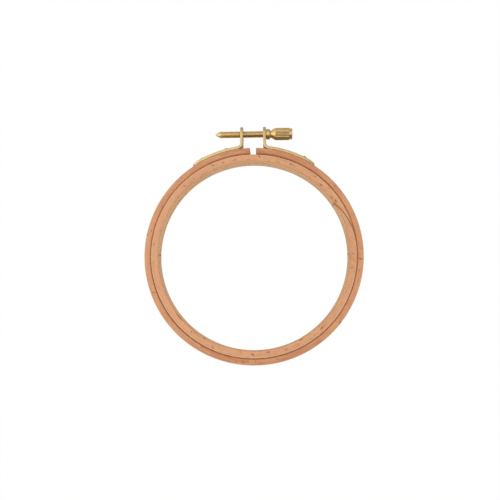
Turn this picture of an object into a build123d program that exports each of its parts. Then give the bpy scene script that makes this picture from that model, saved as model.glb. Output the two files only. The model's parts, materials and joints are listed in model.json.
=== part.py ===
from build123d import *
from math import asin, cos, degrees, pi, radians, sin, sqrt
import os

# A bent beech embroidery hoop with a brass screw fitting, in millimetres.
# The hoop lies flat: Z is the axis of its rings, +Y points from the centre to the screw,
# and +X runs along the screw to its head. The origin is the centre of the hoop, halfway
# through its depth. Angles round the hoop are counted from +Y towards +X.

# Wooden rings
ring_depth = 8.0
ring_edge_chamfer = 0.5
inner_ring_outer_r = 50.0
inner_ring_wall = 3.6
outer_ring_wall = 3.0
ring_gap = 3.0

# Brass brackets, each a strip nailed to the outer ring and bent up into a lug
bracket_thickness = 1.4
bracket_width = 7.4
bracket_bend_r = 2.0
lug_spacing = 10.1
bracket_tail_angle = 33.5

# Round-headed nails that hold the brackets
nail_angles = {"lug": 14.3, "tail": 27.8}
nail_shank_r = 0.6
nail_length = 3.5
nail_point_length = 0.9
nail_head_r = 1.2
nail_head_height = 0.5
nail_head_rim = 0.12

# Wire brads across the inner ring's inside wall, a quarter turn either side of the screw:
# each is a straight crown with two legs
brad_wire = 0.6
brad_crown = 6.0
brad_leg = 2.8
brad_centre_z = -0.4

# Thumb screw, turned from one bar: shank, collar, neck, cone, knurled grip and end boss
screw_standoff = 8.25
screw_shank_r = 1.6
screw_shank_length = 25.6
screw_point_length = 2.6
screw_point_r = 0.35
collar_r = 2.6
collar_length = 1.75
collar_chamfer = 0.25
neck_r = 1.7
neck_length = 0.7
cone_length = 2.3
grip_r = 3.05
grip_length = 6.9
grip_chamfer = 0.2
boss_r = 2.75
boss_length = 1.6
boss_chamfer = 0.3
knurl_count = 22
knurl_depth = 0.28
knurl_half_width = 0.36

# Thread travel: turning the screw back this far opens the outer ring
thread_pitch = 0.635
screw_turns = 6

# Fits
cloth_clearance = 0.25
plain_lug_clearance = 0.08
tapped_lug_clearance = 0.22
collar_clearance = 0.1

# Places that follow from the sizes above
outer_ring_inner_r = inner_ring_outer_r + cloth_clearance
outer_ring_outer_r = outer_ring_inner_r + outer_ring_wall
inner_ring_inner_r = inner_ring_outer_r - inner_ring_wall
strip_outer_r = outer_ring_outer_r + bracket_thickness
screw_y = outer_ring_outer_r + screw_standoff
lug_inner_x = lug_spacing / 2
lug_outer_x = lug_inner_x + bracket_thickness
lug_top_r = bracket_width / 2
lug_top_y = screw_y + lug_top_r
collar_x = lug_outer_x + collar_clearance

# The outer ring opens about its outer edge, opposite the screw. The far lug's hole drops
# a little on the way, so at rest it sits half of that drop above the screw's axis.
hinge_to_screw = outer_ring_outer_r + screw_y
opening_angle = screw_turns * thread_pitch / hinge_to_screw
lug_mid_x = (lug_inner_x + lug_outer_x) / 2
lug_drop = lug_mid_x * sin(opening_angle) + hinge_to_screw * (1 - cos(opening_angle))


def round_hoop(radius, angle):
    """The point at this radius and angle round the hoop, halfway through its depth."""
    return Vector(radius * sin(radians(angle)), radius * cos(radians(angle)), 0)


def facing_out(radius, angle):
    """A plane square to the hoop's radius at this angle, with its z pointing outwards."""
    outwards = round_hoop(1, angle)
    return Plane(origin=outwards * radius, x_dir=(0, 0, 1), z_dir=outwards)


def along_radius(radius, angle):
    """A plane that holds the hoop's radius at this angle: its y points outwards."""
    outwards = round_hoop(1, angle)
    return Plane(origin=outwards * radius, x_dir=(0, 0, 1), z_dir=Vector(0, 0, 1).cross(outwards))


def hoop_section(inner_r, outer_r):
    """The section of a bent strip with its edges eased, drawn beside the Z axis."""
    with BuildSketch(Plane.XZ) as section:
        with Locations(((inner_r + outer_r) / 2, 0)):
            Rectangle(outer_r - inner_r, ring_depth)
        chamfer(section.vertices(), ring_edge_chamfer)
    return section.sketch


def write(piece, name):
    """Label a finished piece and write it under its node's name."""
    piece.part.label = name
    export_step(piece.part, f"parts/{name}.step")


os.makedirs("parts", exist_ok=True)

# Outer ring: one bent strip whose ends stop at the gap under the screw. It is modelled as
# two halves that meet opposite the gap, where the wood bends when the hoop is opened.
outer_section = hoop_section(outer_ring_inner_r, outer_ring_outer_r)
nail_tip_r = strip_outer_r - nail_length

for side, sign, kept in (("left", -1, Keep.BOTTOM), ("right", 1, Keep.TOP)):
    with BuildPart() as outer_half:
        add(outer_section)
        revolve(axis=Axis.Z)
        with BuildSketch(Plane.XY):
            with Locations((0, screw_y / 2)):
                Rectangle(ring_gap, screw_y)
        extrude(amount=ring_depth, both=True, mode=Mode.SUBTRACT)
        split(bisect_by=Plane.YZ, keep=kept)
        for angle in nail_angles.values():
            with Locations(facing_out(outer_ring_outer_r, sign * angle)):
                Hole(nail_shank_r, depth=outer_ring_outer_r - nail_tip_r)
    write(outer_half, f"outer_ring_{side}")

# Wire brads: a crown flush with the inner ring's inside wall and two legs driven into it.
# The sketch holds the hoop's axis, which its y follows, and the legs point along its x.
crown_r = sqrt(inner_ring_inner_r**2 - (brad_wire / 2) ** 2)

with BuildPart() as right_brad:
    with BuildSketch(Plane(origin=(crown_r, 0, brad_centre_z), x_dir=(1, 0, 0), z_dir=(0, -1, 0))):
        Rectangle(brad_leg, brad_crown, align=(Align.MIN, Align.CENTER))
        with Locations((brad_wire, 0)):
            Rectangle(
                brad_leg,
                brad_crown - 2 * brad_wire,
                align=(Align.MIN, Align.CENTER),
                mode=Mode.SUBTRACT,
            )
    extrude(amount=brad_wire / 2, both=True)
write(right_brad, "right_inner_brad")

with BuildPart() as left_brad:
    add(mirror(right_brad.part, about=Plane.YZ))
write(left_brad, "left_inner_brad")

# Inner ring: one bent strip, its ends scarfed and glued, with both brads' bores
with BuildPart() as inner_ring:
    add(hoop_section(inner_ring_inner_r, inner_ring_outer_r))
    revolve(axis=Axis.Z)
    add(right_brad.part, mode=Mode.SUBTRACT)
    add(left_brad.part, mode=Mode.SUBTRACT)
write(inner_ring, "inner_ring")

# Brackets: the right one's edge, seen along Z. The lug's inside face runs down into the
# bend, which lands tangent on the ring, and the strip follows the ring to its tail.
bend_x = lug_inner_x + bracket_thickness + bracket_bend_r
bend_centre_r = strip_outer_r + bracket_bend_r
bend_y = sqrt(bend_centre_r**2 - bend_x**2)
bend_angle = degrees(asin(bend_x / bend_centre_r))
bend_turn = 90 - bend_angle

with BuildPart() as bracket_blank:
    with BuildSketch(Plane.XY):
        with BuildLine():
            Polyline(
                (lug_inner_x, bend_y),
                (lug_inner_x, lug_top_y),
                (lug_outer_x, lug_top_y),
                (lug_outer_x, bend_y),
            )
            CenterArc((bend_x, bend_y), bracket_bend_r, 180, bend_turn)
            CenterArc((bend_x, bend_y), bracket_bend_r + bracket_thickness, 180, bend_turn)
            CenterArc((0, 0), strip_outer_r, bend_turn, bend_angle - bracket_tail_angle)
            CenterArc((0, 0), outer_ring_outer_r, bend_turn, bend_angle - bracket_tail_angle)
            Line(
                round_hoop(outer_ring_outer_r, bracket_tail_angle),
                round_hoop(strip_outer_r, bracket_tail_angle),
            )
        make_face()
    extrude(amount=bracket_width / 2, both=True)
    # the lug's top is a half circle about the screw
    with BuildSketch(Plane.YZ):
        with Locations((screw_y, 0)):
            Circle(lug_top_r)
        with Locations((screw_y / 2, 0)):
            Rectangle(screw_y, bracket_width)
    extrude(amount=strip_outer_r, mode=Mode.INTERSECT)
    # the tail ends in the same half circle, seen from outside the hoop
    tail_round_angle = bracket_tail_angle - degrees(lug_top_r / strip_outer_r)
    with BuildSketch(facing_out(strip_outer_r, tail_round_angle)):
        Circle(lug_top_r)
        with Locations((0, -strip_outer_r / 2)):
            Rectangle(bracket_width, strip_outer_r)
    extrude(amount=strip_outer_r, both=True, mode=Mode.INTERSECT)
    for angle in nail_angles.values():
        with Locations(facing_out(strip_outer_r, angle)):
            Hole(nail_shank_r, depth=bracket_thickness + bracket_bend_r)

left_blank = mirror(bracket_blank.part, about=Plane.YZ)

with BuildPart() as right_bracket:
    add(bracket_blank.part)
    with BuildSketch(Plane.YZ):
        with Locations((screw_y, 0)):
            Circle(screw_shank_r + plain_lug_clearance)
    extrude(amount=collar_x, mode=Mode.SUBTRACT)
write(right_bracket, "right_bracket")

with BuildPart() as left_bracket:
    add(left_blank)
    with BuildSketch(Plane.YZ):
        with Locations((screw_y + lug_drop / 2, 0)):
            Circle(screw_shank_r + tapped_lug_clearance)
    extrude(amount=-collar_x, mode=Mode.SUBTRACT)
write(left_bracket, "left_bracket")

# Nails: a domed head on the strip, and a pointed shank driven into the outer ring
for side, sign in (("left", -1), ("right", 1)):
    for place, angle in nail_angles.items():
        nail_plane = along_radius(strip_outer_r, sign * angle)
        with BuildPart() as nail:
            with BuildSketch(nail_plane):
                with BuildLine():
                    Polyline(
                        (0, nail_head_height),
                        (0, -nail_length),
                        (nail_shank_r, nail_point_length - nail_length),
                        (nail_shank_r, 0),
                        (nail_head_r, 0),
                        (nail_head_r, nail_head_rim),
                    )
                    RadiusArc(
                        (nail_head_r, nail_head_rim),
                        (0, nail_head_height),
                        -(nail_head_r**2 + (nail_head_height - nail_head_rim) ** 2)
                        / (2 * (nail_head_height - nail_head_rim)),
                    )
                make_face()
            revolve(axis=Axis(nail_plane.origin, nail_plane.y_dir))
        write(nail, f"{side}_{place}_nail")

# Thumb screw
screw_plane = Plane(origin=(0, screw_y, 0), x_dir=(1, 0, 0), z_dir=(0, 0, 1))
point_x = collar_x - screw_shank_length
neck_x = collar_x + collar_length + neck_length
grip_x = neck_x + cone_length
boss_x = grip_x + grip_length
end_x = boss_x + boss_length

with BuildPart() as thumb_screw:
    with BuildSketch(screw_plane):
        with BuildLine():
            Polyline(
                (point_x, 0),
                (point_x, screw_point_r),
                (point_x + screw_point_length, screw_shank_r),
                (collar_x, screw_shank_r),
                (collar_x, collar_r - collar_chamfer),
                (collar_x + collar_chamfer, collar_r),
                (collar_x + collar_length, collar_r),
                (neck_x, neck_r),
                (grip_x, grip_r),
                (boss_x - grip_chamfer, grip_r),
                (boss_x, grip_r - grip_chamfer),
                (boss_x, boss_r),
                (end_x - boss_chamfer, boss_r),
                (end_x, boss_r - boss_chamfer),
                (end_x, 0),
                (point_x, 0),
            )
        make_face()
    revolve(axis=Axis(screw_plane.origin, screw_plane.x_dir))
    # straight knurling: grooves along the grip, cut from the boss's shoulder
    with BuildSketch(Plane(origin=(boss_x, screw_y, 0), x_dir=(0, 1, 0), z_dir=(-1, 0, 0))):
        with PolarLocations(grip_r, knurl_count):
            Polygon(
                (-knurl_depth, 0),
                (knurl_depth, knurl_half_width * 2),
                (knurl_depth, -knurl_half_width * 2),
                align=None,
            )
    extrude(amount=grip_length, mode=Mode.SUBTRACT)
write(thumb_screw, "thumb_screw")

print("hinge to screw", round(hinge_to_screw, 3), "mm")
print("opening at the screw", screw_turns * thread_pitch, "mm")
print("opening angle", round(degrees(opening_angle), 4), "degrees")
print("coupling ratio", thread_pitch / (2 * pi) / hinge_to_screw)
print("far lug's drop", round(lug_drop, 4), "mm")
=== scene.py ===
import json
import math

import bmesh
import bpy
import numpy as np
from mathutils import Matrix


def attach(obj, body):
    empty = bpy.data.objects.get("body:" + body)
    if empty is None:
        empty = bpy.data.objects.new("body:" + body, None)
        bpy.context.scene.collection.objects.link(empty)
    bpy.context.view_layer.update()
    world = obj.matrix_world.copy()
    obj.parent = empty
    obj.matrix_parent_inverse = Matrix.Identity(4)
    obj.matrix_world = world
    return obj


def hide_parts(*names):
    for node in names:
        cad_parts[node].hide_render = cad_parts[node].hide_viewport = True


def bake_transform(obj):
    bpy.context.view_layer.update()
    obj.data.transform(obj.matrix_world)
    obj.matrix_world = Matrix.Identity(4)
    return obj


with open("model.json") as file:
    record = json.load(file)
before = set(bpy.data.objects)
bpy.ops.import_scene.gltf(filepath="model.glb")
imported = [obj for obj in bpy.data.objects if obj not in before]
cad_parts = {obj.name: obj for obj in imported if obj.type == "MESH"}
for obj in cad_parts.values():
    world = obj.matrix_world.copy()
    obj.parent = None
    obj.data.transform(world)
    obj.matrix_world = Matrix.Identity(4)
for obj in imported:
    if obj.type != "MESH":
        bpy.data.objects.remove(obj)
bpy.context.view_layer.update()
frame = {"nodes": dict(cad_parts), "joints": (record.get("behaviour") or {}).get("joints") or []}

# The looks of a bent beech embroidery hoop with brass fittings, in metres.
# Z is the axis of the rings, +Y points from the centre to the screw and +X runs along the
# screw to its head. Angles round the hoop are counted from +Y towards +X, in degrees.

mm = 0.001
weld_distance = mm / 5000
square_corners = ((-1, -1), (1, -1), (1, 1), (-1, 1))
rng = np.random.default_rng(11)


def points(mesh):
    """The points of a mesh, as rows of x, y and z."""
    return np.array([vertex.co for vertex in mesh.vertices])


def corners(node):
    """The corners of a CAD node."""
    return points(frame["nodes"][node].data)


def reach(places):
    """The least and most distance of these places from the hoop's axis."""
    distances = np.hypot(places[:, 0], places[:, 1])
    return distances.min(), distances.max()


def hoop_angle(place):
    """The angle round the hoop at which a place lies."""
    return math.degrees(math.atan2(place[0], place[1]))


# Sizes that the frame holds
outer_places = corners("outer_ring_right")
bracket_places = corners("right_bracket")
screw_places = corners("thumb_screw")
inner_low, inner_high = reach(corners("inner_ring"))
outer_low, outer_high = reach(outer_places)
# no cloth lies between the rings here, so each one's facing wall is drawn a little nearer
cloth_room = 0.06 * mm
inner_high += cloth_room
outer_low -= cloth_room
half_depth = outer_places[:, 2].max()
half_gap = outer_places[outer_places[:, 1] > 0, 0].min()
screw_joint = next(joint for joint in frame["joints"] if joint["name"] == "screw_turn")
screw_y = screw_joint["pos_m"][1]
lug_inner_x = bracket_places[:, 0].min()
lug_outer_x = bracket_places[bracket_places[:, 1] > screw_y, 0].max()
lug_top_y = bracket_places[:, 1].max()
strip_half_width = bracket_places[:, 2].max()
tail_angle = max(hoop_angle(place) for place in bracket_places)
tip_x, end_x = screw_places[:, 0].min(), screw_places[:, 0].max()

# Wooden rings
inner_mid_r = (inner_low + inner_high) / 2
outer_mid_r = (outer_low + outer_high) / 2
inner_wall = inner_high - inner_low
inner_edge_round = 0.4 * mm
outer_edge_round = 0.45 * mm
cut_edge_round = 0.25 * mm
unevenness = 0.06 * mm
wave_count = 9
# the outer strip bends within this distance of the point opposite the gap
# its ends are square to the screw, and its rows turn radial over this many degrees
square_cut_span = 6.0
# nothing presses on the inner ring at the outer ring's gap, so it lies a little lower there
slack_depth = 0.27 * mm
slack_middle = 8.0
slack_spread = 50.0
# how deep and dark a mark is, and how far its core and then its soft rim reach, as shares
# of its half size
mark_depth = 0.05 * mm
mark_strength = 1.55
mark_core = 0.5
mark_fade = 0.9
# a rounding takes up at most this share of a side
round_most_share = 0.45
# degrees between a strip's rows, steps round its corners, and the shares at which points lie
# on its faces, on its walls and on the rounding of a cut end
row_step = 0.35
corner_steps = 5
face_shares = np.linspace(0.03, 0.97, 11)
wall_shares = np.array((0.04, 0.2, 0.5, 0.8, 0.96))
cut_shares = np.array((0, 0.08, 0.3, 0.62, 1.0))
# edges that turn by more degrees than this stay sharp
ring_sharp_angle = 50
# a distance in millimetres at which neither glue nor a cut end shows
far_off = 9

# Scarf joint in the inner ring: its glue line climbs from the inside to the outside
scarf_start, scarf_end = 58.0, 84.0
glue_gap = 0.08 * mm
glue_lead = 3.0
glue_thinning = 0.3
feather = 0.08 * mm
# the feather was sanded back at its front edge
sanded_end = 81.0
sanded_fade = 12.0
sanded_width = 0.5 * mm
sanded_depth = 2.2 * mm

# Brackets
bend_inner_r = 2.0 * mm
plain_hole_r = 1.68 * mm
tapped_hole_r = 1.82 * mm
tapped_hole_rise = 0.127 * mm
strip_edge_round = 0.28 * mm
strip_edge_steps = 4
strip_edge_angle = 50
# the tails end this much further round than in the CAD, as in the photo
left_tail_extra = 0.4 * mm
right_tail_extra = 0.9 * mm
# the quads of a strip's mesh, along it, across it and from its hole to its end
strip_step = 0.3 * mm
strip_columns = 12
end_shares = (0, 0.2, 0.42, 0.62, 0.8, 1)
# one round face closes the tail's end, which has no hole
tail_centre_r = 0.3 * mm
# the strip's middle runs down the lug, round the bend and along the ring
strip_wall = lug_outer_x - lug_inner_x
strip_ring_r = outer_high + strip_wall / 2
bend_mid_r = bend_inner_r + strip_wall / 2
bend_x = lug_outer_x + bend_inner_r
bend_centre_r = outer_high + strip_wall + bend_inner_r
bend_y = math.sqrt(bend_centre_r**2 - bend_x**2)
bend_end_angle = math.asin(bend_x / bend_centre_r)
bend_length = bend_mid_r * (math.pi / 2 - bend_end_angle)
lug_length = lug_top_y - bend_y
tail_length = strip_ring_r * (math.radians(tail_angle) - bend_end_angle)

# Nails and brads
nail_head_r = 1.5 * mm
nail_head_heights = {
    "left_lug_nail": 1.4 * mm,
    "left_tail_nail": 1.3 * mm,
    "right_lug_nail": 1.0 * mm,
    "right_tail_nail": 1.5 * mm,
}
nail_rim = 0.2 * mm
nail_rim_easing = (0.03 * mm, 0.04 * mm)
nail_shank_r = 0.6 * mm
nail_length = 3.5 * mm
nail_point_length = 0.9 * mm
nail_columns = 28
nail_sharp_angle = 40
dome_rows = 9
dent_count = 3
dent_spread = 0.6
dent_r = 0.5 * mm
dent_depth = 0.035 * mm
brad_wire_r = 0.3 * mm
brad_columns = 16
brad_sharp_angle = 50
brad_bend_r = 0.3 * mm
brad_bend_rows = 6
brad_leg_length = 2.6 * mm
brad_proud = 0.22 * mm

# Thumb screw
thread_pitch = 0.635 * mm
thread_spare_turns = 3
thread_major_r = 1.67 * mm
thread_root_r = 1.5 * mm
thread_runout = 1.0 * mm
runout_r = 1.56 * mm
point_length = 2.6 * mm
point_r = 0.35 * mm
collar_clearance = 0.1 * mm
collar_r = 2.6 * mm
collar_length = 1.75 * mm
collar_round = 0.25 * mm
collar_back_round = 0.12 * mm
neck_r = 1.7 * mm
neck_length = 0.7 * mm
neck_round = 0.15 * mm
cone_length = 2.3 * mm
cone_round = 0.1 * mm
grip_r = 3.05 * mm
grip_length = 6.9 * mm
grip_round = 0.2 * mm
boss_r = 2.75 * mm
boss_root_round = 0.05 * mm
boss_round = 0.3 * mm
easing_steps = 4
screw_sharp_angle = 28
knurl_count = 22
knurl_depth = 0.17 * mm
knurl_half_width = 0.36 * mm
# dirt and painted shade start this far past the cone and end this far past the grip
dirt_and_shade_start = 0.05 * mm
dirt_and_shade_overlap = 0.01 * mm


def smooth(value):
    """0 below 0, 1 above 1 and an even S between."""
    value = np.clip(value, 0, 1)
    return value * value * (3 - 2 * value)


def wave(angles):
    """A gentle seeded ripple round the hoop, from 0 to 1, that meets itself after a turn."""
    total = np.zeros_like(angles, dtype=float)
    for count in range(2, 2 + wave_count):
        total += np.cos(np.radians(angles) * count + rng.uniform(0, 2 * math.pi)) / count
    return 0.5 + 0.5 * total / np.abs(total).max()


def new_piece(name, places, faces, material):
    """A mesh object at the origin, with its one material."""
    mesh = bpy.data.meshes.new(name)
    mesh.from_pydata([tuple(place) for place in places], [], faces)
    mesh.materials.append(material)
    piece = bpy.data.objects.new(name, mesh)
    bpy.context.scene.collection.objects.link(piece)
    return piece


def bands(index, beside):
    """Quads between each row of points and the next, to the points that lie beside."""
    quads = np.stack((index[:-1], beside[:-1], beside[1:], index[1:]), axis=-1)
    return quads.reshape(-1, 4).tolist()


def shade(mesh, sharp=None):
    """Shade every face smooth, and keep edges sharp that turn by more than an angle."""
    mesh.polygons.foreach_set("use_smooth", np.ones(len(mesh.polygons), dtype=bool))
    if sharp is not None:
        mesh.set_sharp_from_angle(angle=math.radians(sharp))


def weld(piece, fill=False, sharp=None):
    """Merge doubled points, close open rims if asked, turn faces outwards and shade them."""
    mesh = piece.data
    shape = bmesh.new()
    shape.from_mesh(mesh)
    bmesh.ops.remove_doubles(shape, verts=shape.verts, dist=weld_distance)
    if fill:
        rims = [edge for edge in shape.edges if edge.is_boundary]
        bmesh.ops.holes_fill(shape, edges=rims, sides=0)
    bmesh.ops.recalc_face_normals(shape, faces=shape.faces)
    shape.to_mesh(mesh)
    shape.free()
    shade(mesh, sharp)


def keep(piece, name, values):
    """Store one vector or number for each point, which a shader reads."""
    values = np.asarray(values, dtype=np.float32)
    kind, field = "FLOAT", "value"
    if values.ndim > 1 and values.shape[-1] == 3:
        kind, field = "FLOAT_VECTOR", "vector"
    layer = piece.data.attributes.new(name, kind, "POINT")
    layer.data.foreach_set(field, values.ravel())


# Shader nodes


def srgb(red, green, blue):
    """A colour given as it shows on the screen, from 0 to 255, as the shader needs it."""
    shown = np.array((red, green, blue)) / 255
    linear = np.where(shown <= 0.04045, shown / 12.92, ((shown + 0.055) / 1.055) ** 2.4)
    return (*linear, 1.0)


class Shader:
    """A node tree with short calls that each add a node and return its output socket."""

    def __init__(self, owner):
        owner.use_nodes = True
        self.tree = owner.node_tree
        self.tree.nodes.clear()

    def node(self, kind, inputs=None, **settings):
        node = self.tree.nodes.new("ShaderNode" + kind)
        for name, value in settings.items():
            setattr(node, name, value)
        for key, value in (inputs or {}).items():
            if isinstance(value, bpy.types.NodeSocket):
                self.tree.links.new(value, node.inputs[key])
            else:
                node.inputs[key].default_value = value
        return node

    def math(self, operation, *values, clamp=False):
        inputs = dict(enumerate(values))
        return self.node("Math", inputs, operation=operation, use_clamp=clamp).outputs[0]

    def scaled(self, vector, factors):
        return self.node("VectorMath", {0: vector, 1: factors}, operation="MULTIPLY").outputs[0]

    def split(self, vector):
        return self.node("SeparateXYZ", {0: vector}).outputs

    def mix(self, share, first, second):
        inputs = {0: share, 6: first, 7: second}
        return self.node("Mix", inputs, data_type="RGBA").outputs[2]

    def tint(self, colour, share, strength, other):
        """The colour, turned towards another one by this share of the strength."""
        return self.mix(self.math("MULTIPLY", share, strength), colour, other)

    def ramp(self, value, low, high, to_low=0.0, to_high=1.0):
        inputs = {
            "Value": value,
            "From Min": low,
            "From Max": high,
            "To Min": to_low,
            "To Max": to_high,
        }
        return self.node("MapRange", inputs, interpolation_type="SMOOTHSTEP").outputs[0]

    def band(self, value, rise, top, edge, fall):
        """1 from top to edge, and 0 below rise and above fall."""
        falling = self.ramp(value, edge, fall, 1.0, 0.0)
        return self.math("MULTIPLY", self.ramp(value, rise, top), falling)

    def noise(self, vector, detail=3.0, roughness=0.55):
        inputs = {"Vector": vector, "Scale": 1.0, "Detail": detail, "Roughness": roughness}
        return self.node("TexNoise", inputs).outputs["Fac"]

    def bumps(self, height, strength, distance):
        inputs = {"Strength": strength, "Distance": distance, "Height": height}
        return self.node("Bump", inputs).outputs[0]

    def cells(self, vector):
        """The distance to a cell's seed and the cell's own random colour."""
        node = self.node("TexVoronoi", {"Vector": vector, "Scale": 1.0})
        return node.outputs["Distance"], node.outputs["Color"]


# Colours of the wood, and of the dirt and painted shade in the brass's grooves
tan_patch = srgb(206, 158, 112)
fleck_brown = srgb(160, 100, 66)
mark_brown = srgb(132, 68, 38)
wall_dark, wall_light = srgb(206, 158, 110), srgb(230, 188, 140)
glue_brown = srgb(116, 66, 40)
end_grain = srgb(150, 100, 68)
groove_dirt_and_shade = srgb(112, 78, 38)

# The wood's patterns, stretched along, across and into the strip, per millimetre
figure_stretch = (0.035, 0.7, 0.5)
fibre_stretch = (0.14, 5.0, 5.0)
mottle_stretch = (0.5, 1.1, 1.1)
tan_stretch = (0.12, 0.55, 0.45)
# the factor and the offset by which each pattern moves the tone
figure_weight = (0.55, -0.28)
fibre_weight = (0.9, -0.45)
mottle_weight = (0.7, -0.35)
# painted light: the angle round the hoop that is painted lightest, and by how much
painted_light_angle = -80
painted_light_swing = 0.05
# two sorts of flecks: the stretch of their cells, their size and the share left out
fleck_sorts = (((0.2, 1.25, 1.25), 0.28, 0.72), ((0.45, 1.8, 1.8), 0.24, 0.62))
fleck_core = 0.4
fleck_strength = 0.6
# ramps between two values of a pattern: from, to, and what they give there
tan_ramp = (0.48, 0.62, 0.0, 0.4)
stain_ramp = (0.35, 0.6, 0.8, 1.1)
wall_tone_ramp = (0.35, 0.65)
wood_rough_ramp = (0.3, 0.7, 0.5, 0.6)
# where the inside wall and the two rims lie on a strip's outline, by its normal's r share
wall_ramp = (-0.95, -0.5, 1.0, 0.0)
wall_strength = 0.85
# painted shade on the rounded inner edge, and painted highlight or shade on the rounded outer
# edge
low_rim_band = (-0.97, -0.8, -0.25, 0.0)
low_rim_strength = 0.7
high_rim_band = (0.0, 0.3, 0.8, 0.97)
high_rim_strength = 0.6
# how glue and end grain fade over a distance in millimetres
glue_ramp = (0.08, 0.42, 0.85, 0.0)
end_grain_ramp = (0.02, 0.3, 0.7, 0.0)
wood_bump = 0.03 * mm
wood_bump_strength = 0.35

# The brass's tarnish and worked lines, and how its brackets darken along x and y in millimetres
cloud_stretch = (0.5, 0.5, 0.5)
cloud_weight = (1.1, -0.05)
line_weight = (0.5, -0.25)
right_darkening = (-20, 20, 0.0, 0.3)
tail_darkening = (45, 49, 0.5, 0.0)
brass_bump = 0.015 * mm
brass_bump_strength = 0.3

# Marks on the rings' front faces: angle, distance from the ring's inside, length, width,
# tilt from the grain and darkness, in degrees and millimetres
inner_marks = (
    (3.7, 2.3, 1.9, 0.5, -60, 0.6),
    (-11, 1.3, 2.2, 0.8, 0, 0.25),
    (-2.7, 0.8, 1.6, 0.6, 0, 0.25),
    (9.7, 0.4, 1.6, 0.5, 0, 0.25),
    (15.2, 0.8, 2.2, 0.5, 0, 0.5),
    (22.8, 1.9, 0.9, 0.7, 0, 0.6),
    (24.0, 1.8, 1.8, 0.4, 10, 0.3),
    (-18, 1.6, 1.4, 0.7, -30, 0.4),
    (-24.5, 2.4, 2.0, 0.5, -36, 0.5),
    (39, 2.3, 0.9, 0.7, 0, 0.55),
    (36.6, 0.65, 1.5, 0.4, 0, 0.4),
    (44.9, 1.1, 2.0, 0.7, 0, 0.55),
    (49.4, 2.7, 0.8, 0.5, 0, 0.4),
    (54.8, 0.8, 1.6, 0.5, 0, 0.6),
    (57.6, 1.5, 1.8, 0.6, 0, 0.7),
    (58.4, 0.3, 1.3, 0.9, 90, 0.4),
    (93, 0.4, 1.8, 0.6, 0, 0.3),
    (98.6, 1.6, 1.7, 0.5, -54, 0.45),
    (-38, 1.2, 1.8, 0.5, 0, 0.3),
    (-44.9, 1.6, 0.9, 0.7, 0, 0.5),
    (-84.4, 2.6, 1.4, 0.5, 0, 0.45),
    (-130.7, 0.4, 5.5, 0.5, 0, 0.6),
    (-141.7, 1.5, 0.9, 0.8, 0, 0.45),
    (-143.8, 0.6, 0.9, 0.6, 0, 0.5),
    (-150, 0.6, 2.0, 0.7, 0, 0.3),
    (-156.7, 2.5, 1.8, 0.5, -40, 0.5),
    (-172.5, 0.9, 1.4, 0.6, 0, 0.4),
    (-179.5, 1.7, 2.0, 0.6, -25, 0.7),
    (-176.5, 3.0, 1.8, 0.5, 0, 0.25),
    (161.5, 1.8, 2.2, 0.9, 0, 0.3),
    (151.5, 0.6, 2.4, 0.5, 0, 0.5),
    (143.4, 2.05, 0.8, 0.6, 0, 0.4),
    (137.9, 1.8, 1.8, 0.6, 10, 0.65),
    (136, 1.9, 0.8, 0.5, 0, 0.4),
    (167.8, 2.5, 1.8, 0.6, 0, 0.25),
    (171.6, 1.1, 1.7, 0.6, 0, 0.6),
    (90.4, 1.6, 2.4, 0.5, 80, 0.3),
)
outer_marks = (
    (50.5, 1.8, 2.0, 0.8, 80, 0.3),
    (99.5, 1.3, 1.6, 0.7, 0, 0.25),
    (-43, 1.85, 1.0, 0.8, 0, 0.3),
    (-79.4, 2.6, 1.0, 0.7, 0, 0.7),
    (-77, 1.2, 1.6, 0.7, 0, 0.3),
    (-111.2, 1.35, 2.2, 0.35, 84, 0.7),
    (-151.5, 0.8, 1.2, 0.5, 0, 0.4),
    (-171.1, 1.7, 1.8, 0.6, 80, 0.3),
    (-174.5, 1.5, 1.8, 0.4, 84, 0.5),
    (178.9, 1.0, 1.2, 0.4, 84, 0.5),
    (167.2, 1.4, 1.8, 0.8, 0, 0.25),
    (129, 2.5, 1.3, 0.6, 0, 0.6),
    (93.2, 1.35, 2.3, 0.5, 70, 0.75),
)


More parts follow.
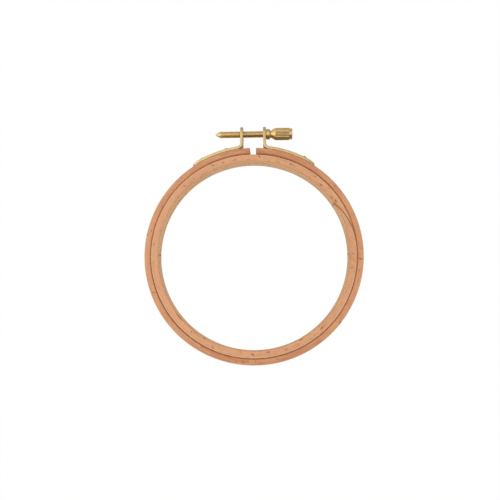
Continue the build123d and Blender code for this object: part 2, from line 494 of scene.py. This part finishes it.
def wood(name, light, dark, mid_r, low_rim_shade, high_rim_shading, quarter_swing=0):
    """Steamed beech: fibres along the strip, short flecks, single marks, and edges with painted
    shade and painted highlight.
    """
    material = bpy.data.materials.new(name)
    shader = Shader(material)
    grain = shader.node("Attribute", attribute_name="grain").outputs["Vector"]
    edge = shader.node("Attribute", attribute_name="edge").outputs["Vector"]
    along, across, depth = shader.split(grain)
    cut_distance, glue_distance, side = shader.split(edge)

    figure = shader.noise(shader.scaled(grain, figure_stretch), detail=2.0)
    fibre = shader.noise(shader.scaled(grain, fibre_stretch), detail=4.0, roughness=0.65)
    mottle = shader.noise(shader.scaled(grain, mottle_stretch))

    # painted light: the left of the hoop is painted a little lighter, as if lit from there
    turn = shader.math("MULTIPLY_ADD", along, mm / mid_r, math.radians(-painted_light_angle))
    swing = shader.math("MULTIPLY", shader.math("COSINE", turn), painted_light_swing)
    tone = shader.math("MULTIPLY_ADD", figure, *figure_weight)
    tone = shader.math("ADD", tone, shader.math("MULTIPLY_ADD", fibre, *fibre_weight))
    tone = shader.math("ADD", tone, shader.math("MULTIPLY_ADD", mottle, *mottle_weight))
    tone = shader.math("ADD", tone, swing)
    if quarter_swing > 0:
        # 3 and 9 o'clock are lighter than 12 and 6
        twice = shader.math("MULTIPLY", along, 2 * mm / mid_r)
        quarters = shader.math("MULTIPLY", shader.math("COSINE", twice), -quarter_swing)
        tone = shader.math("ADD", tone, quarters)
    tone = shader.math("ADD", tone, 0.5, clamp=True)
    colour = shader.mix(tone, dark, light)
    tan = shader.noise(shader.scaled(grain, tan_stretch), detail=2.0)
    colour = shader.mix(shader.ramp(tan, *tan_ramp), colour, tan_patch)

    # short dark rays, kept in only some of the cells
    flecks = None
    for stretch, size, left_out in fleck_sorts:
        distance, own = shader.cells(shader.scaled(grain, stretch))
        spot = shader.ramp(distance, size * fleck_core, size, 1.0, 0.0)
        chosen = shader.math("GREATER_THAN", shader.split(own)[0], left_out)
        spot = shader.math("MULTIPLY", spot, chosen)
        flecks = spot if flecks is None else shader.math("MAXIMUM", flecks, spot)
    colour = shader.tint(colour, flecks, fleck_strength, fleck_brown)

    # the marks that this hoop's front shows, broken up by the fibres
    stain = shader.node("Attribute", attribute_name="stain").outputs["Fac"]
    stain = shader.math("MULTIPLY", stain, shader.ramp(fibre, *stain_ramp), clamp=True)
    colour = shader.mix(stain, colour, mark_brown)

    # the inside wall is greyer; painted shade darkens the rounded inner edge, and the rounded
    # outer edge gets a painted highlight on the inner ring and painted shade on the outer ring
    wall = shader.ramp(side, *wall_ramp)
    wall_tone = shader.math("MULTIPLY_ADD", mottle, 0.5, shader.math("MULTIPLY", figure, 0.5))
    wall_colour = shader.mix(shader.ramp(wall_tone, *wall_tone_ramp), wall_dark, wall_light)
    colour = shader.tint(colour, wall, wall_strength, wall_colour)
    shaded_edge = shader.band(side, *low_rim_band)
    colour = shader.tint(colour, shaded_edge, low_rim_strength, low_rim_shade)
    lit_edge = shader.band(side, *high_rim_band)
    colour = shader.tint(colour, lit_edge, high_rim_strength, high_rim_shading)

    # glue in the scarf, and end grain at the cut ends
    glue = shader.ramp(glue_distance, *glue_ramp)
    glue = shader.math("MULTIPLY", glue, shader.math("MULTIPLY_ADD", wall, -0.6, 1.0))
    colour = shader.mix(glue, colour, glue_brown)
    cut = shader.ramp(cut_distance, *end_grain_ramp)
    colour = shader.mix(cut, colour, end_grain)

    rough = shader.ramp(fibre, *wood_rough_ramp)
    height = shader.math("MULTIPLY_ADD", flecks, -0.5, fibre)
    height = shader.math("MULTIPLY_ADD", stain, -0.6, height)
    height = shader.math("MULTIPLY", height, shader.math("MULTIPLY_ADD", wall, -0.8, 1.0))
    bump = shader.bumps(height, wood_bump_strength, wood_bump)
    surface = shader.node(
        "BsdfPrincipled",
        {
            "Base Color": colour,
            "Roughness": rough,
            "Specular IOR Level": 0.3,
            "Normal": bump,
        },
    )
    shader.node("OutputMaterial", {"Surface": surface.outputs[0]})
    return material


def brass(name, light, dark, stretch, rough, grime_and_shade=0, darker_right_and_tails=False):
    """Brass with a cloudy tarnish, and fine lines stretched along the way it was worked.

    One argument darkens the stored grooves with dirt and painted shade, and another makes the
    brass darker on the hoop's right and towards the brackets' tails."""
    material = bpy.data.materials.new(name)
    shader = Shader(material)
    place = shader.node("TexCoord").outputs["Object"]
    place = shader.scaled(place, (1 / mm, 1 / mm, 1 / mm))
    cloud = shader.noise(shader.scaled(place, cloud_stretch), detail=4.0)
    lines = shader.noise(shader.scaled(place, stretch), roughness=0.6)
    tone = shader.math("MULTIPLY_ADD", cloud, *cloud_weight)
    if darker_right_and_tails:
        # the brackets are darker on the hoop's right and towards their tails
        x, y, _ = shader.split(place)
        tone = shader.math("SUBTRACT", tone, shader.ramp(x, *right_darkening))
        tone = shader.math("SUBTRACT", tone, shader.ramp(y, *tail_darkening))
    worked = shader.math("MULTIPLY_ADD", lines, *line_weight)
    tone = shader.math("ADD", tone, worked, clamp=True)
    colour = shader.mix(tone, dark, light)
    # painted shade and dirt darken the knurl's grooves
    if grime_and_shade > 0:
        groove = shader.node("Attribute", attribute_name="groove").outputs["Fac"]
        colour = shader.tint(colour, groove, grime_and_shade, groove_dirt_and_shade)
    bump = shader.bumps(lines, brass_bump_strength, brass_bump)
    surface = shader.node(
        "BsdfPrincipled",
        {
            "Base Color": colour,
            "Metallic": 1.0,
            "Roughness": shader.ramp(lines, 0.25, 0.75, rough - 0.06, rough + 0.08),
            "Normal": bump,
        },
    )
    shader.node("OutputMaterial", {"Surface": surface.outputs[0]})
    return material


# Wooden rings


def scarf_r(angle):
    """The radius of the glue line at this angle: steep at the inside, then tangent."""
    share = np.clip((angle - scarf_start) / (scarf_end - scarf_start), 0, 1)
    return inner_low + inner_wall * (1 - (1 - share) ** 2)


def section(low, high, half, rounds):
    """A strip's outline in r and z with a rounding at each corner, and its normal's r share.

    The corners run inner back, outer back, outer front, inner front."""
    arcs = []
    for (side, face), rounding, start in zip(square_corners, rounds, (180, 270, 0, 90)):
        turn = np.radians(start + np.linspace(0, 90, corner_steps + 1))
        edge = (low if side < 0 else high) - side * rounding
        r = edge + rounding * np.cos(turn)
        z = face * (half - rounding) + rounding * np.sin(turn)
        arcs.append(np.stack((r, z, np.cos(turn)), axis=1))
    outline = []
    for arc, following, shares in zip(arcs, arcs[1:] + arcs[:1], (face_shares, wall_shares) * 2):
        outline.append(arc)
        outline.append(arc[-1] + np.outer(shares, following[0] - arc[-1]))
    return np.concatenate(outline)


def stains(angles, r, z, low, marks):
    """How dark the marks make each point of a ring's front face."""
    dark = np.zeros_like(r)
    for angle, from_inside, length, width, tilt, strength in marks:
        turn = (angles - math.radians(angle) + math.pi) % (2 * math.pi) - math.pi
        along = turn * (low + from_inside * mm) / mm
        across = (r - low) / mm - from_inside
        lean = math.radians(tilt)
        lengthwise = along * math.cos(lean) + across * math.sin(lean)
        sideways = across * math.cos(lean) - along * math.sin(lean)
        deep = (half_depth - z) / mm
        away = np.sqrt((2 * lengthwise / length) ** 2 + (2 * sideways / width) ** 2 + deep**2)
        dark = np.maximum(dark, strength * (1 - smooth((away - mark_core) / mark_fade)))
    return np.minimum(dark * mark_strength, 1)


def swept(name, angles, outlines, mid_r, low, material, marks):
    """A strip with one outline for each angle, closed at both ends."""
    rows, columns = outlines.shape[:2]
    r, z, side = outlines[..., 0], outlines[..., 1], outlines[..., 2]
    dark = stains(angles, r, z, low, marks)
    z = z - np.sign(z) * dark * mark_depth
    places = np.stack((r * np.sin(angles), r * np.cos(angles), z), axis=-1).reshape(-1, 3)
    index = np.arange(rows * columns).reshape(rows, columns)
    beside = np.roll(index, -1, axis=1)
    faces = bands(index, beside)
    faces.append(index[0, ::-1].tolist())
    faces.append(index[-1].tolist())
    piece = new_piece(name, places, faces, material)
    shade(piece.data, sharp=ring_sharp_angle)
    keep(piece, "grain", np.stack((angles * mid_r, r - low, z), axis=-1) / mm)
    keep(piece, "stain", dark)
    return piece, side


def inner_ring_strip(material):
    """The inner ring: one bent strip whose feathered ends pass each other at the scarf."""
    edge_share = feather + glue_gap / 2
    first = scarf_start + (scarf_end - scarf_start) * (1 - math.sqrt(1 - edge_share / inner_wall))
    last = scarf_end - (scarf_end - scarf_start) * math.sqrt(edge_share / inner_wall) + 360
    angles = np.linspace(first, last, round((last - first) / row_step) + 1)
    low_wave, high_wave, face_wave = (wave(angles) * unevenness for _ in range(3))
    slack = slack_depth * smooth(1 - np.abs(angles - 360 - slack_middle) / slack_spread)
    outlines = []
    for row, angle in enumerate(angles):
        low = inner_low + low_wave[row] - slack[row]
        high = inner_high - high_wave[row] - slack[row]
        low_round, high_round = inner_edge_round, outer_edge_round
        if angle < scarf_end:
            high = min(high, scarf_r(angle) - glue_gap / 2)
            high_round = glue_gap / 2
            low = min(low, high - feather)
        if angle > scarf_start + 360:
            low = max(low, scarf_r(angle - 360) + glue_gap / 2)
            low_round = glue_gap / 2
            high = max(high, low + feather)
        most = round_most_share * (high - low)
        low_round, high_round = min(low_round, most), min(high_round, most)
        half = half_depth - face_wave[row]
        outline = section(low, high, half, (low_round, high_round, high_round, low_round))
        if angle < scarf_end:
            fade = smooth((sanded_end - angle) / sanded_fade)
            share = (high - outline[:, 0]) / (high - low)
            height = smooth((outline[:, 1] - half + sanded_depth) / sanded_depth)
            outline[:, 0] += min(sanded_width * fade, 0.5 * (high - low)) * share * height
        outlines.append(outline)
    outlines = np.array(outlines)
    turned = np.repeat(np.radians(angles)[:, None], outlines.shape[1], axis=1)
    piece, side = swept(
        "inner_ring_strip", turned, outlines, inner_mid_r, inner_low, material, inner_marks
    )
    here = angles[:, None] % 360
    before = np.maximum(np.radians(scarf_start - here), 0) * inner_low
    glue = np.hypot(outlines[..., 0] - scarf_r(here), before) / mm
    # the glue line thins out towards the outside
    glue = glue + glue_thinning * smooth((here - scarf_start) / (scarf_end - scarf_start) - 0.5)
    joined = (here > scarf_start - glue_lead) & (here < scarf_end)
    glue = np.where(joined, glue, far_off)
    cut = np.full_like(side, far_off)
    keep(piece, "edge", np.stack((cut, glue, side), axis=-1))
    return piece


def outer_ring_strip(material):
    """The outer ring: one bent strip from one side of the gap to the other."""
    first = math.degrees(math.asin(half_gap / outer_mid_r))
    step = cut_edge_round / outer_mid_r
    easing = np.degrees(step * cut_shares)
    middle = np.linspace(first + easing[-1], 360 - first - easing[-1], round(360 / row_step))
    angles = np.concatenate((first + easing[:-1], middle, 360 - first - easing[-2::-1]))
    low_wave, high_wave, face_wave = (wave(angles) * unevenness for _ in range(3))
    outlines = []
    for row, angle in enumerate(angles):
        to_end = np.radians(min(angle - first, 360 - first - angle)) * outer_mid_r
        missing = max(cut_edge_round - to_end, 0)
        inset = cut_edge_round - math.sqrt(cut_edge_round**2 - missing**2)
        low = outer_low + low_wave[row] + inset
        high = outer_high - high_wave[row] - inset
        half = half_depth - face_wave[row] - inset
        outlines.append(section(low, high, half, (outer_edge_round,) * 4))
    outlines = np.array(outlines)
    turned = np.repeat(np.radians(angles)[:, None], outlines.shape[1], axis=1)
    # both ends are cut square to the screw, not along a radius
    lean = np.arcsin(half_gap / outlines[..., 0]) - math.radians(first)
    near = smooth(1 - (angles - first) / square_cut_span)[:, None]
    far = smooth(1 - (360 - first - angles) / square_cut_span)[:, None]
    turned = turned + lean * near - lean * far
    piece, side = swept(
        "outer_ring_strip", turned, outlines, outer_mid_r, outer_low, material, outer_marks
    )
    to_end = np.radians(np.minimum(angles - first, 360 - first - angles)) * outer_mid_r / mm
    cut = np.broadcast_to(to_end[:, None], side.shape)
    keep(piece, "edge", np.stack((cut, np.full_like(side, far_off), side), axis=-1))
    return piece


# Brackets


def bracket_point(along, width, side):
    """Where a point of the flat strip lies once it is bent: along from the lug's top."""
    past_bend = along - lug_length - bend_length
    if along <= lug_length:
        x, y = lug_inner_x + strip_wall / 2, lug_top_y - along
    elif past_bend <= 0:
        turn = (along - lug_length) / bend_mid_r
        x, y = bend_x - bend_mid_r * math.cos(turn), bend_y - bend_mid_r * math.sin(turn)
    else:
        angle = bend_end_angle + past_bend / strip_ring_r
        x, y = strip_ring_r * math.sin(angle), strip_ring_r * math.cos(angle)
    return side * x, y, width


def round_end(centre, facing, hole_r, hole_rise=0):
    """Quads between a hole and a strip's end: half a circle one way, half a square the other."""
    square = np.linspace(-1, 1, strip_columns + 1)
    sides = np.linspace(1, 0, strip_columns // 2 + 1)
    bow = np.linspace(0, math.pi, 2 * strip_columns + 1)
    rim = [(1, share) for share in square]
    rim += [(share, 1) for share in sides[1:]]
    rim += [(-math.sin(turn), math.cos(turn)) for turn in bow[1:]]
    rim += [(share, -1) for share in sides[::-1][1:-1]]
    rim = np.array(rim) * strip_half_width
    inner = rim / np.linalg.norm(rim, axis=1)[:, None] * hole_r + (hole_rise, 0)
    rings = [inner + (rim - inner) * share for share in end_shares]
    flat = np.concatenate(rings) * (facing, 1) + (centre, 0)
    index = np.arange(len(flat)).reshape(len(rings), len(rim))
    return flat, bands(index, np.roll(index, -1, axis=1)), index[0].tolist()


def bracket(name, side, hole_r, hole_rise, tail_extra, material):
    """A brass strip, bent up into a lug: its middle sheet, thickened and with eased edges."""
    length = lug_length + bend_length + tail_length + tail_extra
    reach_in = 2 * strip_half_width
    steps = round((length - 2 * reach_in) / strip_step)
    lug, faces, _ = round_end(strip_half_width, 1, hole_r, -hole_rise)
    tail, tail_faces, tail_hole = round_end(length - strip_half_width, -1, tail_centre_r)
    runs = np.linspace(reach_in, length - reach_in, steps + 1)
    widths = np.linspace(-strip_half_width, strip_half_width, strip_columns + 1)
    middle = np.array([(run, width) for run in runs for width in widths])
    index = np.arange(len(middle)).reshape(len(runs), len(widths)) + len(lug) + len(tail)
    faces += (np.array(tail_faces) + len(lug)).tolist()
    faces.append((np.array(tail_hole) + len(lug)).tolist())
    faces += bands(index[:, :-1], index[:, 1:])
    sheet = np.concatenate((lug, tail, middle))
    places = [bracket_point(run, width, side) for run, width in sheet]
    piece = new_piece(name, places, faces, material)
    weld(piece)
    thick = piece.modifiers.new("thickness", "SOLIDIFY")
    thick.thickness = strip_wall
    thick.offset = 0
    thick.use_even_offset = True
    eased = piece.modifiers.new("eased edges", "BEVEL")
    eased.width = strip_edge_round
    eased.segments = strip_edge_steps
    eased.limit_method = "ANGLE"
    eased.angle_limit = math.radians(strip_edge_angle)
    shading = piece.modifiers.new("flat faces", "WEIGHTED_NORMAL")
    shading.keep_sharp = False
    return piece


# Turned and driven pieces


def rounded(profile, easings):
    """A profile of x and r with its inner corners eased over the given lengths."""
    profile = np.array(profile)
    path = [profile[0]]
    for before, corner, after, easing in zip(profile, profile[1:], profile[2:], easings):
        back, forth = before - corner, after - corner
        start = corner + back * min(easing / np.linalg.norm(back), round_most_share)
        stop = corner + forth * min(easing / np.linalg.norm(forth), round_most_share)
        for share in np.linspace(0, 1, easing_steps + 1):
            left = 1 - share
            path.append(left**2 * start + 2 * share * left * corner + share**2 * stop)
    path.append(profile[-1])
    return np.array(path)


def lathe(profile, columns):
    """Places and quads of a profile of height and radius, turned about the height axis."""
    turn = np.linspace(0, 2 * math.pi, columns, endpoint=False)
    height = np.repeat(profile[:, :1], columns, axis=1)
    y, z = np.outer(profile[:, 1], np.cos(turn)), np.outer(profile[:, 1], np.sin(turn))
    index = np.arange(height.size).reshape(height.shape)
    quads = bands(index, np.roll(index, -1, axis=1))
    return np.stack((height, y, z), axis=-1).reshape(-1, 3), quads


def nail(name, node, head_height, material):
    """A nail with a low dome that the hammer left uneven, driven square into the ring."""
    angle = math.radians(hoop_angle(corners(node).mean(axis=0)))
    dome = [
        (nail_rim + (head_height - nail_rim) * (1 - share**3), nail_head_r * share)
        for share in np.sin(np.linspace(0, math.pi / 2, dome_rows))
    ]
    profile = dome + [
        (nail_rim_easing[0], nail_head_r),
        (0, nail_head_r - nail_rim_easing[1]),
        (0, nail_shank_r),
        (nail_point_length - nail_length, nail_shank_r),
        (-nail_length, 0),
    ]
    places, quads = lathe(np.array(profile), nail_columns)
    dents = rng.uniform(-1, 1, (dent_count, 2)) * nail_head_r * dent_spread
    for dent in dents:
        away = np.hypot(places[:, 1] - dent[0], places[:, 2] - dent[1]) / dent_r
        places[:, 0] -= np.where(places[:, 0] > nail_rim, dent_depth * np.exp(-away**2), 0)
    outwards = np.array((math.sin(angle), math.cos(angle), 0))
    round_way = np.array((math.cos(angle), -math.sin(angle), 0))
    surface_r = outer_high + strip_wall
    placed = np.outer(places[:, 0] + surface_r, outwards) + np.outer(places[:, 1], round_way)
    placed[:, 2] += places[:, 2]
    piece = new_piece(name, placed, quads, material)
    weld(piece, sharp=nail_sharp_angle)
    return piece


def brad(name, node, side, material):
    """A wire brad: its crown lies a little proud along the inside wall, between two legs."""
    heights = corners(node)[:, 2]
    low_z, high_z = heights.min() + brad_wire_r, heights.max() - brad_wire_r
    crown_r = inner_low - brad_proud + brad_wire_r
    turn = np.linspace(0, math.pi / 2, brad_bend_rows)
    corner = brad_bend_r * np.stack((1 - np.sin(turn), 1 - np.cos(turn)), axis=1)
    path = [(crown_r + brad_leg_length, high_z)]
    path += [(crown_r + depth, high_z - down) for depth, down in corner]
    path += [(crown_r + depth, low_z + down) for depth, down in corner[::-1]]
    path += [(crown_r + brad_leg_length, low_z)]
    path = np.array(path)
    ahead = np.gradient(path, axis=0)
    ahead /= np.linalg.norm(ahead, axis=1)[:, None]
    sideways = np.stack((-ahead[:, 1], ahead[:, 0]), axis=1)
    turn = np.linspace(0, 2 * math.pi, brad_columns, endpoint=False)
    wire = path[:, None] + brad_wire_r * np.cos(turn)[:, None] * sideways[:, None]
    y = np.broadcast_to(brad_wire_r * np.sin(turn), wire.shape[:2])
    places = np.stack((side * wire[..., 0], y, wire[..., 1]), axis=-1).reshape(-1, 3)
    index = np.arange(len(places)).reshape(y.shape)
    quads = bands(index, np.roll(index, -1, axis=1))
    piece = new_piece(name, places, quads, material)
    weld(piece, fill=True, sharp=brad_sharp_angle)
    return piece


def turned_screw(material):
    """The thumb screw: a threaded, pointed shank and a turned head with a straight knurl."""
    collar_x = lug_outer_x + collar_clearance
    neck_x = collar_x + collar_length + neck_length
    grip_x = neck_x + cone_length
    boss_x = grip_x + grip_length

    # four columns to a tooth of the knurl: groove, its two edges and the land between
    groove = math.asin(knurl_half_width / grip_r)
    tooth = 2 * math.pi / knurl_count
    starts = np.arange(knurl_count)[:, None] * tooth
    turn = (starts + np.array((0, groove, tooth / 2, tooth - groove))).ravel()
    notch = np.tile((knurl_depth, 0, 0, 0), knurl_count)
    columns = len(turn)

    # the thread's rows follow its helix, four to a pitch: root, root, crest, crest, and its
    # spare turns fall together at both ends
    shares = np.array((0, 0.25, 0.5625, 0.6875))
    rows = len(shares)
    first = math.floor(tip_x / thread_pitch) - thread_spare_turns
    last = math.ceil(collar_x / thread_pitch) + thread_spare_turns
    turns = np.arange(first, last + 1)
    helix = (turns[:, None] + shares).ravel() * thread_pitch
    lead = thread_pitch * turn / (2 * math.pi)
    x = np.clip(helix[:, None] + lead, tip_x, collar_x)
    profile_r = (thread_root_r, thread_root_r, thread_major_r, thread_major_r, thread_root_r)
    r = np.interp(((x - lead) / thread_pitch) % 1, (*shares, 1), profile_r)
    fade = smooth((collar_x - x) / thread_runout)
    r = runout_r + (r - runout_r) * fade
    cone = point_r + (thread_major_r - point_r) * (x - tip_x) / point_length
    r = np.minimum(r, cone)
    places = np.stack((x, screw_y + r * np.cos(turn), r * np.sin(turn)), axis=-1).reshape(-1, 3)
    index = np.arange(x.size).reshape(x.shape)
    # after a turn the helix has climbed by the rows of one pitch
    beside = np.concatenate((index[:-rows, 1:], index[rows:, :1]), axis=1)
    quads = bands(index[:-rows], beside)

    # the head's rows run straight round
    profile = rounded(
        (
            (collar_x, runout_r),
            (collar_x, collar_r),
            (collar_x + collar_length, collar_r),
            (neck_x, neck_r),
            (grip_x, grip_r),
            (boss_x, grip_r),
            (boss_x, boss_r),
            (end_x, boss_r),
            (end_x, 0),
        ),
        (
            collar_round,
            collar_back_round,
            neck_round,
            cone_round,
            grip_round,
            boss_root_round,
            boss_round,
        ),
    )
    head_x = np.repeat(profile[:, :1], columns, axis=1)
    head_r = np.repeat(profile[:, 1:], columns, axis=1)
    cut = (head_x > neck_x) & (head_x <= boss_x)
    head_r = np.where(cut, np.minimum(head_r, grip_r - notch), head_r)
    head = np.stack((head_x, screw_y + head_r * np.cos(turn), head_r * np.sin(turn)), axis=-1)
    index = np.arange(head_x.size).reshape(head_x.shape) + len(places)
    quads += bands(index, np.roll(index, -1, axis=1))
    places = np.concatenate((places, head.reshape(-1, 3)))
    piece = new_piece("turned_screw", places, quads, material)
    weld(piece, fill=True, sharp=screw_sharp_angle)

    # dirt and painted shade lie in the knurl's grooves and on the step at their end
    places = points(piece.data)
    missing = grip_r - np.hypot(places[:, 1] - screw_y, places[:, 2])
    dirt_and_shade_span = (places[:, 0] > grip_x + dirt_and_shade_start) & (places[:, 0] < boss_x + dirt_and_shade_overlap)
    keep(piece, "groove", np.where(dirt_and_shade_span, np.clip(missing / knurl_depth, 0, 1), 0))
    return piece


# Materials and pieces
outer_beech = wood(
    "outer_beech",
    light=srgb(212, 155, 116),
    dark=srgb(164, 104, 68),
    mid_r=outer_mid_r,
    low_rim_shade=srgb(160, 90, 52),
    high_rim_shading=srgb(202, 150, 108),
    quarter_swing=0.18,
)
inner_beech = wood(
    "inner_beech",
    light=srgb(221, 167, 128),
    dark=srgb(178, 122, 86),
    mid_r=inner_mid_r,
    low_rim_shade=srgb(176, 122, 84),
    high_rim_shading=srgb(226, 176, 136),
)
brass_strip = brass(
    "brass_strip",
    light=srgb(226, 203, 152),
    dark=srgb(198, 170, 112),
    stretch=(0.6, 6.0, 6.0),
    rough=0.3,
    darker_right_and_tails=True,
)
brass_nail = brass(
    "brass_nail",
    light=srgb(226, 200, 132),
    dark=srgb(184, 150, 88),
    stretch=(2.0, 2.0, 2.0),
    rough=0.34,
)
brass_brad = brass(
    "brass_brad",
    light=srgb(212, 172, 92),
    dark=srgb(168, 130, 62),
    stretch=(2.0, 2.0, 2.0),
    rough=0.5,
)
brass_screw = brass(
    "brass_screw",
    light=srgb(233, 202, 142),
    dark=srgb(196, 158, 98),
    stretch=(7.0, 0.3, 0.3),
    rough=0.26,
    grime_and_shade=0.42,
)

inner_strip = inner_ring_strip(inner_beech)
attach(inner_strip, "inner")
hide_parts("inner_ring")

outer_strip = outer_ring_strip(outer_beech)
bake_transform(outer_strip)
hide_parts("outer_ring_left", "outer_ring_right")

for name, side, hole_r, rise, tail_extra in (
    ("left", -1, tapped_hole_r, tapped_hole_rise, left_tail_extra),
    ("right", 1, plain_hole_r, 0, right_tail_extra),
):
    strip = bracket(f"{name}_bracket_strip", side, hole_r, rise, tail_extra, brass_strip)
    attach(strip, f"ring_{name}")
    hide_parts(f"{name}_bracket")
    for node in (f"{name}_lug_nail", f"{name}_tail_nail"):
        driven = nail(f"{node}_driven", node, nail_head_heights[node], brass_nail)
        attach(driven, f"ring_{name}")
        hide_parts(node)
    pin = brad(f"{name}_inner_brad_driven", f"{name}_inner_brad", side, brass_brad)
    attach(pin, "inner")
    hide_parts(f"{name}_inner_brad")

screw = turned_screw(brass_screw)
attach(screw, "screw")
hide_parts("thumb_screw")

# Floor, light and camera
floor_half_size = 3.0
floor_drop = 0.02 * mm
floor_glow = 0.98
floor_gloss = 0.5
floor_gloss_level = 0.3
sky_level = 0.75
# the sky's brightness in reflections, as ramps along its direction's y, x and y
bottom_fade = (-0.8, -0.3, 0.22, 1.35)
right_fade = (-0.9, 0.9, 1.26, 0.68)
top_fade = (0.15, 0.7, 1.0, 0.55)
key_place = (-0.08, -0.02, 0.95)
key_size = 0.7
key_power = 4.3
# fitted to the rings' front and back edges in the photo
camera_place = (7.94 * mm, -32.92 * mm, 253.56 * mm)
camera_turn = (0.1378, 0.0377, -0.0074)
camera_lens = 37.43


def white_floor():
    """A white sheet under the hoop that keeps a faint shadow, is dimmer in reflections and
    is clear from below."""
    size, height = floor_half_size, -half_depth - floor_drop
    places = [(x * size, y * size, height) for x, y in square_corners]
    material = bpy.data.materials.new("white_floor")
    shader = Shader(material)
    paper = shader.node("BsdfDiffuse", {"Color": (0.8, 0.8, 0.8, 1)})
    rays = shader.node("LightPath").outputs
    level = shader.math("MULTIPLY_ADD", rays["Is Glossy Ray"], floor_gloss_level - 1, 1.0)
    glow = shader.node("Emission", {"Color": (1, 1, 1, 1), "Strength": level})
    seen = shader.math("ADD", rays["Is Camera Ray"], rays["Is Transmission Ray"], clamp=True)
    share = shader.math("MULTIPLY", seen, floor_glow)
    share = shader.math("MULTIPLY_ADD", rays["Is Glossy Ray"], floor_gloss, share)
    lit = shader.node("MixShader", {0: share, 1: paper.outputs[0], 2: glow.outputs[0]})
    clear = shader.node("BsdfTransparent")
    behind = shader.node("NewGeometry").outputs["Backfacing"]
    both = shader.node("MixShader", {0: behind, 1: lit.outputs[0], 2: clear.outputs[0]})
    shader.node("OutputMaterial", {"Surface": both.outputs[0]})
    floor = new_piece("floor", places, [(0, 1, 2, 3)], material)


def sky():
    """A white world: full strength where the camera sees it and softer where it lights the
    hoop. In reflections it fades towards -Y, towards +X and, far out, towards +Y."""
    world = bpy.data.worlds.new("sky")
    bpy.context.scene.world = world
    shader = Shader(world)
    rays = shader.node("LightPath").outputs
    direction = shader.node("TexCoord").outputs["Generated"]
    x, y, _ = shader.split(direction)
    lift = shader.ramp(y, *bottom_fade)
    lift = shader.math("MULTIPLY", lift, shader.ramp(x, *right_fade))
    lift = shader.math("MULTIPLY", lift, shader.ramp(y, *top_fade))
    level = shader.mix(rays["Is Glossy Ray"], (sky_level, sky_level, sky_level, 1), lift)
    seen = shader.math("ADD", rays["Is Camera Ray"], rays["Is Transmission Ray"], clamp=True)
    level = shader.mix(seen, level, (1, 1, 1, 1))
    background = shader.node("Background", {"Color": level, "Strength": 1.0})
    shader.node("OutputWorld", {"Surface": background.outputs[0]})


def softbox(name, place, size, power):
    """A square lamp that faces the hoop's centre and isn't seen in reflections."""
    data = bpy.data.lights.new(name, "AREA")
    data.size = size
    data.energy = power
    lamp = bpy.data.objects.new(name, data)
    lamp.visible_glossy = False
    bpy.context.scene.collection.objects.link(lamp)
    lamp.location = place
    lamp.rotation_mode = "QUATERNION"
    lamp.rotation_quaternion = lamp.location.to_track_quat("Z", "Y")


def photo_camera():
    """The photo's view: nearly straight down, from a little right of and below the centre."""
    data = bpy.data.cameras.new("camera")
    data.lens = camera_lens
    data.sensor_width = 36
    data.clip_start = 0.001
    camera = bpy.data.objects.new("camera", data)
    bpy.context.scene.collection.objects.link(camera)
    camera.location = camera_place
    camera.rotation_mode = "ZYX"
    camera.rotation_euler = camera_turn
    bpy.context.scene.camera = camera


white_floor()
sky()
softbox("key_light", key_place, key_size, key_power)
photo_camera()
bpy.context.scene.view_settings.view_transform = "Standard"
